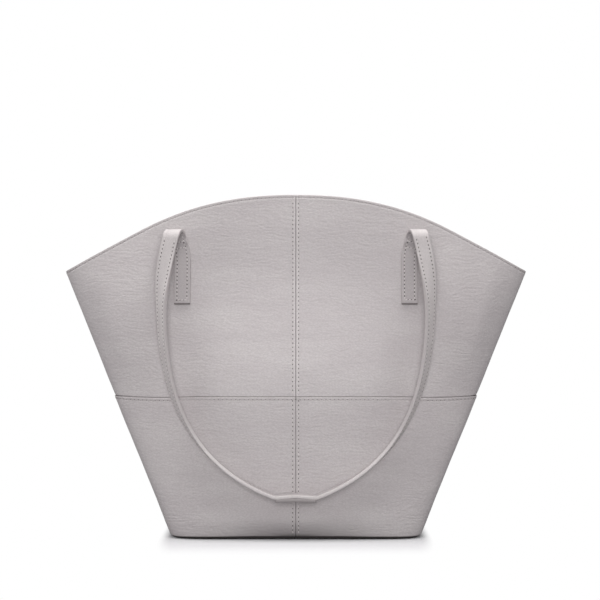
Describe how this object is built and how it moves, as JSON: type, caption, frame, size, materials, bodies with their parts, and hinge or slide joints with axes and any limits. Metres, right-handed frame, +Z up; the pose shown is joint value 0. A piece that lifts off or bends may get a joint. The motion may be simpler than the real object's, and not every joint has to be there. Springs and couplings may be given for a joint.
{
  "type": "shoulder tote bag",
  "caption": "Leather shoulder tote with a flaring, curved open mouth and twisted straps that fold over outside it and swing up over the shoulder.",
  "frame": {"origin": "middle of the base, on the surface that the bag stands on", "axes": "+Z up, +X to the right of someone who looks at the front, +Y from the front towards the back"},
  "size_m": [0.4552, 0.1754, 0.329],
  "materials": {
    "grey_leather": "fine pebble grain, satin",
    "strap_leather": "fine pebble grain, satin, painted edges",
    "lining_cloth": "plain woven cotton",
    "backing_felt": "bonded felt",
    "base_board": "stiff moulded board",
    "snap_metal": "nickel plated"
  },
  "bodies": {
    "bag": {"front_upper_left_panel": "grey_leather", "front_upper_right_panel": "grey_leather", "front_lower_left_panel": "grey_leather", "front_lower_right_panel": "grey_leather", "back_upper_left_panel": "grey_leather", "back_upper_right_panel": "grey_leather", "back_lower_left_panel": "grey_leather", "back_lower_right_panel": "grey_leather", "base_panel": "grey_leather", "base_board": "base_board", "base_lining": "lining_cloth", "front_lining": "lining_cloth", "back_lining": "lining_cloth", "front_rim_facing": "grey_leather", "back_rim_facing": "grey_leather", "front_left_strap_tab": "strap_leather", "front_right_strap_tab": "strap_leather", "back_left_strap_tab": "strap_leather", "back_right_strap_tab": "strap_leather", "front_left_strap_fold": "strap_leather", "front_right_strap_fold": "strap_leather", "back_left_strap_fold": "strap_leather", "back_right_strap_fold": "strap_leather", "front_left_tab_backing": "backing_felt", "front_right_tab_backing": "backing_felt", "back_left_tab_backing": "backing_felt", "back_right_tab_backing": "backing_felt", "snap_stud": "snap_metal", "snap_socket": "snap_metal", "inner_pocket": "lining_cloth", "inner_pocket_binding": "grey_leather"},
    "front_strap": {"front_strap": "strap_leather", "front_strap_splice": "strap_leather"},
    "back_strap": {"back_strap": "strap_leather", "back_strap_splice": "strap_leather"}
  },
  "joints": [
    {"name": "front_strap_swing", "type": "hinge", "parent": "bag", "child": "front_strap", "pos_m": [0, -0.0587, 0.29301], "axis": [-1, 0, 0], "range_deg": [0, 178], "deforming": ["front_left_strap_fold", "front_right_strap_fold"]},
    {"name": "back_strap_swing", "type": "hinge", "parent": "bag", "child": "back_strap", "pos_m": [0, 0.0587, 0.29301], "axis": [1, 0, 0], "range_deg": [0, 178], "deforming": ["back_left_strap_fold", "back_right_strap_fold"]}
  ]
}
